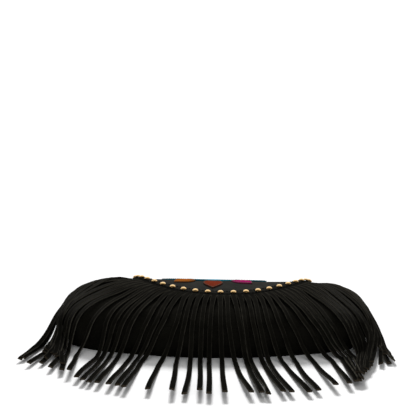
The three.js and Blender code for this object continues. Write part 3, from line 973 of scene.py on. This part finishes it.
round_angle = np.linspace(0, 2 * np.pi, ROUND_STEPS, endpoint=False)
thread_rows = [whipped(*spoke(round_angle, scalloped(round_angle, WHIP_IN)))]
petals = []
petal_u, petal_v = spots(*PETAL_SPOTS)
petal_edge = np.maximum(np.abs(petal_u), np.abs(petal_v))
whip_there = np.linspace(-PETAL_WHIP_END, PETAL_WHIP_END, PETAL_STEPS)
whip_u = np.repeat([PETAL_WHIP_SIDE, -PETAL_WHIP_SIDE], PETAL_STEPS)
whip_v = np.concatenate([whip_there, whip_there[::-1]])
for k in range(PETALS):
    angle = 2 * np.pi * k / PETALS
    slot = PETAL_LEATHERS[k % len(PETAL_LEATHERS)]
    cut = cut_leather(*petal_plan(angle, petal_u, petal_v), petal_edge)
    petal = bag_piece(f"rosette_petal_{k + 1}", *cut, leather[slot], slot)
    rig.replaces(petal, f"petal_{k + 1}")
    petals.append(petal)
    thread_rows.append(whipped(*petal_plan(angle, whip_u, whip_v)))
rosette_stitches = bag_piece("rosette_stitches", *joined(thread_rows), pale_thread, "black_suede")
on_flap = [edge_band, band_stitches, studs, rosette_centre, *petals, rosette_stitches]
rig.sheet(flap, **cut_from(flap_outer), held="folded", rests_on=[front_panel], with_pieces=on_flap)

# Fringe: one piece of black suede. Its uncut head is sewn under the band, and the rest is cut into narrow
# strips, which fall over the pouch in the order that they were laid, cross in the corners and end on the
# table. Their cut edges are raw and paler than the face. The finish also holds painted light: painted shade
# on the strips where they lie on the table, and painted highlights and sheen over the shoulders and along the edges.

HEAD_INNER = 92.7
HEAD_OUTER = 98.0
HEAD_THICK = 1.0
HEAD_GRID = (300, 4)
HEAD_PILLOW = 0.1
STRIP_ROOT = 93.8
STRIP_PITCH = 5.4
STRIPS_PER_SIDE = 29
STRIP_WIDE = 4.0
ROOT_WIDER = 1.45
STRIP_THICK = 1.3
STRIP_LONG = 188.5
LENGTH_DIFFERS = 2
STATIONS = 80
# A strip's section: place across its half width and share of its half thickness.
SECTION_ACROSS = np.array([-1, -0.93, -0.5, 0, 0.5, 0.93, 1])
SECTION_FULL = np.array([0.55, 0.95, 1, 1, 1, 0.95, 0.55])

# Where strips lie: strip, bearings in degrees where it passes the pouch's shoulder and its foot, share of the
# pouch's reach at which it passes the foot, tip's x and y.
STRIP_LIES = np.array([
    (-29, -102, -86, 1.01, -146, -45), (-25, -92, -76, 1.01, -143, -92),
    (-23, -85, -64, 1.03, -130, -118), (-22, -82, -62, 1.03, -127, -130),
    (-21, -78, -63, 1.03, -136, -126), (-20, -73, -62.5, 1.04, -137, -136),
    (-19, -86, -72, 1.06, -158, -123), (-18, -84, -71, 1.06, -156, -127),
    (-17, -71.5, -64.5, 1.05, -146, -131), (-16, -66, -60, 1.06, -117, -145),
    (-15, -63.5, -58, 1.06, -126, -138), (-14, -60, -56, 1.07, -116, -150),
    (-13, -52.5, -50.5, 1.11, -107, -166), (-12, -47.5, -43, 1.11, -99, -168),
    (-11, -44, -41.5, 1.11, -93, -178), (-10, -40.6, -39.1, 1.11, -87.8, -182),
    (-9, -36.8, -36.3, 1.11, -81, -191), (-8, -30.5, -31.9, 1.11, -72, -196),
    (-7, -26, -29.1, 1.11, -65, -199), (-6, -23, -26.9, 1.11, -59.8, -200),
    (-5, -16.6, -19.7, 1.11, -42.5, -204), (-4, -13, -13.8, 1.11, -25, -206),
    (-3, -9.5, -8.4, 1.11, -16, -205), (-2, -5, -4.5, 1.11, -5.5, -210),
    (-1, -1, -1, 1.11, 1, -210), (0, 4, 4.2, 1.11, 12, -210),
    (1, 7.6, 9.3, 1.11, 29.8, -207), (2, 13, 13.7, 1.11, 37.3, -206),
    (3, 15.3, 15.2, 1.11, 41.5, -206), (4, 19.2, 19.8, 1.11, 52.4, -203),
    (5, 22, 22.2, 1.11, 58.2, -202), (6, 26, 27, 1.11, 70, -196),
    (7, 31, 32, 1.11, 76.8, -191), (8, 36, 38, 1.11, 90.5, -185),
    (9, 41.5, 44, 1.11, 101.8, -179), (10, 45, 47.7, 1.11, 108, -176),
    (12, 48.5, 50.3, 1.11, 112.6, -167), (13, 51, 52.2, 1.11, 114, -163),
    (14, 56.5, 55.5, 1.08, 114, -152), (17, 61.5, 58.5, 1.08, 119.5, -142),
    (18, 66, 60.5, 1.08, 123.5, -131), (19, 69.5, 61.5, 1.08, 126, -127),
    (20, 76, 64, 1.06, 128, -122), (22, 79, 65, 1.07, 131.5, -117),
    (23, 81, 66, 1.09, 139, -114), (24, 84, 68, 1.09, 145, -109),
    (25, 88, 70, 1.08, 149, -101), (29, 100, 84, 1.02, 147, -50),
]).T
ROOT_RUN = 14.0
LEFT_COMBED = 1.35
SHOULDER_OUT = 0.95
EDGE_OUT = 1.03
EDGE_TURN = 0.6
FLOOR_BOW = 0.8
BOW_RIGHT = 0.6
TABLE_SHARES = np.array([[0.25], [0.5], [0.75]])
WAY_ROUND = 24
SPARE = 60.0

MAP_CORNER = (-180.0, -220.0)
MAP_SIZE = (361, 341)
MAP_CLEAR = 1.015
LAY_STEPS = 130
LAY_PASSES = 1500
LAY_SMOOTH = 12
LAY_SAG = 0.2
LAY_SAG_CORNER = 0.013
PILE_GAP = 0.15
PILE_HIGH = 3.0
PILE_SPOTS = (400, 9)

# Pairs are where a change starts and where it is complete, counted in strips from the middle one (STRIPS) or
# in millimetres from the root (RUN).
NARROWER_RUN = (6, 36)
SAG_STRIPS = (13, 19)
ARCH_HIGH = 2.3
ARCH_LOWER_STRIPS = (9, 15)
ARCH_LOWEST_STRIPS = (17, 21)
ARCH_UP_RUN = (0, 3.5)
ARCH_DOWN_RUN = (8, 62)
ARCH_DIFFERS = 0.2
TWIST_HIGH = 1.2
TWIST_RUN = (20, 90)
TWIST_WAVE = 26
TWIST_WAVE_DIFFERS = 6
TWIST_START_DIFFERS = 3
ROLL_HIGH = 1.6
ROLL_RUN = (60, 90)
ROLL_FROM_STRIPS = (14, 17)
ROLL_TO_STRIPS = (22, 25)
LIFT_HIGH = 4.6
LIFT_DIFFERS = 1.6
LIFT_BEFORE_TIP = 85
LIFT_BEND = 1.5
LIFT_LESS = 0.7
LIFT_LESS_STRIPS = (13, 18)

CHANCES = ["bow", "arch", "twist", "twist wave", "twist start", "length", "lift"]
CHANCE_START = 40
CHANCE_STEP = 12.9898
CHANCE_USE = 78.233
CHANCE_SPREAD = 43758.5453


def chance(strip, use):
    """A fixed number from -1 to 1 for each strip and each use of it: what follows the point in a large
    multiple of a sine."""
    wave = np.sin((strip + CHANCE_START) * CHANCE_STEP + (CHANCES.index(use) + 1) * CHANCE_USE)
    return 2 * np.modf(np.abs(wave * CHANCE_SPREAD))[0] - 1


def eased(x, start, end):
    """0 before start, 1 after end and a smooth rise between."""
    t = np.clip((x - start) / (end - start), 0, 1)
    return t * t * (3 - 2 * t)


def along_line(line, length, at):
    """Places on a line of points at lengths along it."""
    return np.stack([np.interp(at, length, line[:, k]) for k in range(line.shape[1])], -1)


def strip_way(i):
    """Plan of a strip in equal steps: straight out from the flap's edge (combed outwards on the left), over
    the pouch's shoulder and edge, slanting down to its foot, and in a flat arc over the table to its tip and
    past it. The corners between are rounded by a running mean."""
    turn = np.clip(i * STRIP_PITCH / STUD_LINE, -np.pi / 2, np.pi / 2)
    root = np.array(beside_edge(i * STRIP_PITCH, STRIP_ROOT))
    away = np.clip(turn * (LEFT_COMBED if i < 0 else 1), -np.pi / 2, np.pi / 2)
    out = root + ROOT_RUN * np.array([np.sin(away), -np.cos(away)])
    over, under, foot_out, *tip = (np.interp(i, STRIP_LIES[0], column) for column in STRIP_LIES[1:])
    shoulder = np.array(outline_point(over, SHOULDER_OUT))
    edge = np.array(outline_point(over + EDGE_TURN * (under - over), EDGE_OUT))
    foot = np.array(outline_point(under, foot_out))
    tip = np.array(tip)
    run_out = (tip - foot) / np.linalg.norm(tip - foot)
    bow = FLOOR_BOW * (BOW_RIGHT * (i > 0) + chance(i, "bow")) * np.array([run_out[1], -run_out[0]])
    over_table = foot + TABLE_SHARES * (tip - foot) + 4 * TABLE_SHARES * (1 - TABLE_SHARES) * bow
    last = tip - over_table[-1]
    past = tip + last / np.linalg.norm(last) * SPARE
    corners = np.stack([root, out, shoulder, edge, foot, *over_table, tip, past])
    run = run_along(corners)
    way = along_line(corners, run, np.linspace(0, run[-1], LAY_STEPS))
    for _ in range(WAY_ROUND):
        way[1:-1] = (way[:-2] + 2 * way[1:-1] + way[2:]) / 4
    return way


def pouch_map():
    """Heights on a map with a point to each millimetre: the pouch, a little larger so that the strips clear
    it, and the table."""
    map_x, map_y = np.meshgrid(
        MAP_CORNER[0] + np.arange(MAP_SIZE[0]), MAP_CORNER[1] + np.arange(MAP_SIZE[1]), indexing="ij"
    )
    near_x, near_y = map_x / MAP_CLEAR, map_y / MAP_CLEAR
    return np.where(share_out(near_x, near_y) < 1, crown_height(near_x, near_y) + GAP, 0.0)


def read_map(heights, x, y):
    """Height of the map at places, between its four nearest points."""
    fx, fy = x - MAP_CORNER[0], y - MAP_CORNER[1]
    kx = np.clip(fx.astype(int), 0, MAP_SIZE[0] - 2)
    ky = np.clip(fy.astype(int), 0, MAP_SIZE[1] - 2)
    tx, ty = fx - kx, fy - ky
    near = heights[kx, ky] * (1 - ty) + heights[kx, ky + 1] * ty
    far = heights[kx + 1, ky] * (1 - ty) + heights[kx + 1, ky + 1] * ty
    return near * (1 - tx) + far * tx


def laid(lowest, start, end, sag):
    """Lines laid over heights that they can't sink below: each place sags a little under the mean of its
    neighbours unless it is held up. The first place is held at its start, and all from the end on lie on the
    heights."""
    z = lowest.copy()
    z[:, 0] = start
    free = z[:, : end + 1]
    held_up = lowest[:, 1:end]
    for _ in range(LAY_PASSES):
        free[:, 1:-1] = np.maximum(held_up, (free[:, :-2] + free[:, 2:]) / 2 - sag)
    for _ in range(LAY_SMOOTH):
        free[:, 1:-1] = np.maximum(held_up, (free[:, :-2] + 2 * free[:, 1:-1] + free[:, 2:]) / 4)
    return z


def lay_strip(i, heights):
    """One strip laid over a map: both its edges sag onto the heights. Then it arches up out of its seam,
    twists a little in waves and, in the corners, rolls its face to the front. Returns its middle line and the
    way across."""
    far_out = abs(i)
    way = strip_way(i)
    run = run_along(way)
    along = np.gradient(way, axis=0)
    along /= np.linalg.norm(along, axis=1, keepdims=True)
    beside = np.stack([-along[:, 1], along[:, 0]], -1)
    edges = np.stack([way - beside * STRIP_WIDE / 2, way + beside * STRIP_WIDE / 2])
    lowest = read_map(heights, edges[..., 0], edges[..., 1]) + STRIP_THICK / 2
    root_z = crown_height(*way[0]) + GAP + HEAD_THICK / 2
    sag = LAY_SAG + (LAY_SAG_CORNER - LAY_SAG) * eased(far_out, *SAG_STRIPS)
    landed = min(np.searchsorted(run, run[-1] - SPARE), LAY_STEPS - 2)

    arch = ARCH_HIGH - eased(far_out, *ARCH_LOWER_STRIPS) - eased(far_out, *ARCH_LOWEST_STRIPS)
    arch = arch * (1 + ARCH_DIFFERS * chance(i, "arch"))
    arch = arch * eased(run, *ARCH_UP_RUN) * (1 - eased(run, *ARCH_DOWN_RUN))
    wave = TWIST_WAVE + TWIST_WAVE_DIFFERS * chance(i, "twist wave")
    twist = np.sin(run / wave + TWIST_START_DIFFERS * chance(i, "twist start"))
    twist = TWIST_HIGH * chance(i, "twist") * eased(run, *TWIST_RUN) * twist
    in_corner = eased(far_out, *ROLL_FROM_STRIPS) * (1 - eased(far_out, *ROLL_TO_STRIPS))
    twist = twist - ROLL_HIGH * np.sign(i) * in_corner * eased(run, *ROLL_RUN)

    z = np.maximum(laid(lowest, root_z, landed, sag) + arch + np.stack([twist, -twist]), lowest)
    z[:, 0] = root_z
    lines = np.concatenate([edges, z[..., None]], -1)
    across = lines[1] - lines[0]
    return lines.mean(0), across / np.linalg.norm(across, axis=1, keepdims=True)


def pile_up(heights, bare, middle, across, length, whole):
    """Raises the map to the top of a strip that lies on it, but never far above the bare pouch and table."""
    fine = np.linspace(0, whole, PILE_SPOTS[0])
    spread = np.linspace(-0.5, 0.5, PILE_SPOTS[1]) * STRIP_WIDE
    covered = along_line(middle, length, fine)[:, None]
    covered = covered + along_line(across, length, fine)[:, None] * spread[:, None]
    kx = np.clip(np.rint(covered[..., 0] - MAP_CORNER[0]).astype(int), 0, MAP_SIZE[0] - 1)
    ky = np.clip(np.rint(covered[..., 1] - MAP_CORNER[1]).astype(int), 0, MAP_SIZE[1] - 1)
    top = covered[..., 2] + STRIP_THICK / 2 + PILE_GAP
    np.maximum.at(heights, (kx, ky), np.minimum(top, bare[kx, ky] + PILE_HIGH))


def lay_strips(numbers):
    """Lays the strips one after the other, from the middle outwards, over the pouch, the table and the strips
    before, and lifts their tips a little. Returns for each strip, at its stations, the middle line, the way
    across and the length from its root."""
    bare = pouch_map()
    heights = bare.copy()
    found = {}
    for i in sorted(numbers, key=abs):
        middle, across = lay_strip(i, heights)
        length = run_along(middle)
        whole = STRIP_LONG + LENGTH_DIFFERS * chance(i, "length")
        lift = LIFT_HIGH + LIFT_DIFFERS * chance(i, "lift")
        lift = lift * (1 - LIFT_LESS * eased(abs(i), *LIFT_LESS_STRIPS))
        middle[:, 2] += lift * eased(length, whole - LIFT_BEFORE_TIP, whole) ** LIFT_BEND
        at = np.linspace(0, whole, STATIONS)
        found[i] = along_line(middle, length, at), along_line(across, length, at), at
        pile_up(heights, bare, middle, across, length, whole)
    return tuple(np.stack(part) for part in zip(*(found[i] for i in numbers)))


def strip_bodies(middle, across, wide):
    """Closed strips: a flat section with softened edges, carried along each strip's middle line square to
    it."""
    along = np.gradient(middle, axis=1)
    along /= np.linalg.norm(along, axis=-1, keepdims=True)
    up = np.cross(across, along)
    up *= np.sign(up[..., 2:] + TINY)
    up /= np.linalg.norm(up, axis=-1, keepdims=True)
    sheet = middle[:, :, None] + across[:, :, None] * (wide[..., None] * SECTION_ACROSS / 2)[..., None]
    raised = up[:, :, None] * (STRIP_THICK / 2 * SECTION_FULL)[:, None]
    return sheet + raised, sheet - raised


numbers = np.arange(-STRIPS_PER_SIDE, STRIPS_PER_SIDE + 1)
strip_middle, strip_across, strip_run = lay_strips(numbers)
strip_wide = STRIP_WIDE + ROOT_WIDER * (1 - eased(strip_run, *NARROWER_RUN))
strip_top, strip_under = strip_bodies(strip_middle, strip_across, strip_wide)
head_top, head_under = edge_strip(HEAD_INNER, HEAD_OUTER, GAP, HEAD_THICK, HEAD_GRID, HEAD_PILLOW)
strips = closed_sheets(strip_top, strip_under)
head = closed_sheets(head_top[None], head_under[None])

FRINGE_SHEEN = 0.008
# Raw cut edges are paler than the face, and painted paler still as highlights where light would catch them.
CUT_FIBRE_AND_GLINT = (0.054, 0.050, 0.040)
CUT_TIP = (0.060, 0.048, 0.034)
# Painted sheen: the strips turn paler over the pouch's left and right shoulders, in lumps.
PAINTED_SHEEN = (0.018, 0.0177, 0.016)
# Pairs are where a mark starts and where it is full: from the root (RUN), in height (Z) or to the side (X).
# Painted shade: the strips darken towards black along the part that lies on the table.
TABLE_SHADE_RUN = (80, 150)
TABLE_SHADE_SHARE = 0.9
PAINTED_SHEEN_X = (88, 118)
PAINTED_SHEEN_Z = (20, 36)
PAINTED_SHEEN_LEAST = 0.3
PAINTED_SHEEN_LUMPS = 60
# Painted highlights: broader pale lines along the strips' edges high over the shoulders.
SHOULDER_X = (30, 70)
SHOULDER_Z = (26, 40)
SHOULDER_EDGE = 3
SHOULDER_SHARE = 0.5
FIBRE_GLINT_POWER = 8
FIBRE_GLINT_BREAKS = 140
FIBRE_GLINT_SHARP = 2.2
FIBRE_GLINT_MISSING = 0.4
RAW_TIP = 0.8
TIP_SHARE = 0.6


def raw_cut_and_painted_light(start, colour):
    """Painted shade that darkens the strips towards their tips, where they lie on the table, and painted sheen
    that lightens them over the pouch's corners, in lumps. Raw fibres, paler than the face and painted paler still
    as highlights, in broken lines along the cut edges, painted highlights in broader lines over the shoulders,
    and raw fibres on the cut tip."""
    across = start.mark("across")
    broken = (start.noise(FIBRE_GLINT_BREAKS) * FIBRE_GLINT_SHARP - FIBRE_GLINT_MISSING).clamped()
    # Painted sheen over the pouch's shoulders, in lumps.
    rubbed = start.mark("rubbed") * (PAINTED_SHEEN_LEAST + start.noise(PAINTED_SHEEN_LUMPS))
    # Painted shade on the part of each strip that lies on the table.
    colour = (start.mark("flattened") * TABLE_SHADE_SHARE).blended(colour, BLACK)
    colour = rubbed.clamped().blended(colour, PAINTED_SHEEN)
    # Raw fibres along the cut edges, painted paler still as broken highlight lines.
    colour = (across**FIBRE_GLINT_POWER * broken).clamped().blended(colour, CUT_FIBRE_AND_GLINT)
    # Painted highlight: broader pale edge lines where the strips cross the shoulders.
    colour = (across**SHOULDER_EDGE * start.mark("crowned") * SHOULDER_SHARE).blended(colour, CUT_FIBRE_AND_GLINT)
    return (start.mark("tip") ** 2 * TIP_SHARE).clamped().blended(colour, CUT_TIP)


def on_fringe(values):
    """A mark for the whole fringe from its values on the strips' tops: the same below, and 0 on the head."""
    tops = np.broadcast_to(values, strip_top.shape[:3]).reshape(len(numbers), -1)
    return np.concatenate([np.tile(tops, 2).ravel(), np.zeros(len(head[0]))])


strip_aside, strip_high = np.abs(strip_top[..., 0]), strip_top[..., 2]
to_tip = strip_run[:, -1:] - strip_run
fringe_marks = {
    "flattened": on_fringe(eased(strip_run, *TABLE_SHADE_RUN)[..., None]),
    "crowned": on_fringe(eased(strip_high, *SHOULDER_Z) * eased(strip_aside, *SHOULDER_X)),
    "rubbed": on_fringe(eased(strip_aside, *PAINTED_SHEEN_X) * eased(strip_high, *PAINTED_SHEEN_Z)),
    "across": on_fringe(np.abs(SECTION_ACROSS)),
    "tip": on_fringe(np.clip(1 - to_tip / RAW_TIP, 0, 1)[..., None]),
}
fringe_suede = suede("fringe_suede", BLACK, BLACK_NAP, FRINGE_SHEEN, raw_cut_and_painted_light)
fringe = bag_piece("fringe_strips", *joined([strips, head]), fringe_suede, "black_suede", fringe_marks)
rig.replaces(fringe, "fringe")
strip_area = sum(cut_from(strip)["area"] for strip in strip_top)
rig.sheet(
    fringe,
    flat=(len(numbers) * STRIP_PITCH * MM, (STRIP_LONG + HEAD_OUTER - STRIP_ROOT) * MM),
    area=strip_area + cut_from(head_top)["area"],
    held="draped",
    rests_on=[front_panel, gusset, "table"],
)

# Sizes: the box of the solids and the box of the dressed bag, for comparison.

made_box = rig.bounds()
with open("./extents.json", "w") as sizes:
    json.dump(
        {"cad": [list(corner) for corner in cad_box], "visual": [list(corner) for corner in made_box]}, sizes
    )
